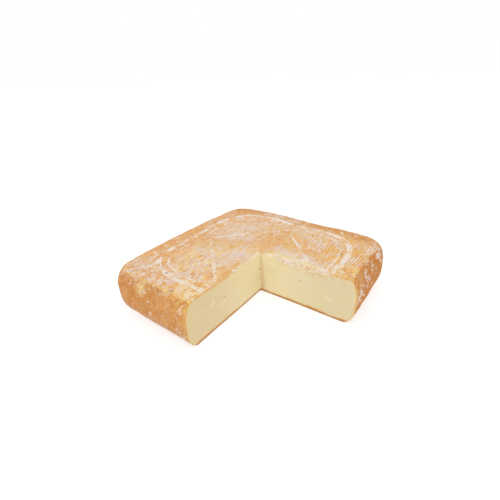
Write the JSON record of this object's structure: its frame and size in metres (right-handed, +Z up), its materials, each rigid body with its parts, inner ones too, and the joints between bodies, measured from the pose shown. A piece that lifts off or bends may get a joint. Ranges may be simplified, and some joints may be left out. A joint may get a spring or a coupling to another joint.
{
  "type": "square washed-rind cheese with a quarter cut out",
  "caption": "Low rounded-square soft cheese lying flat, one quarter cut away, with creamy paste on the two cut faces and an orange-tan bloomed rind all round",
  "frame": {"origin": "on the table, under the middle of the whole square that the cheese was before its quarter was cut out", "axes": "+Z up; +X and +Y along the square's sides; the missing quarter is at +X, -Y"},
  "size_m": [0.2008, 0.2015, 0.046],
  "materials": {
    "cheese": "dry, slightly rough orange-tan washed rind with a pinkish-white bloom; the two cut faces are smooth cream-yellow paste"
  },
  "bodies": {
    "root": {"cheese": "cheese"}
  },
  "joints": []
}
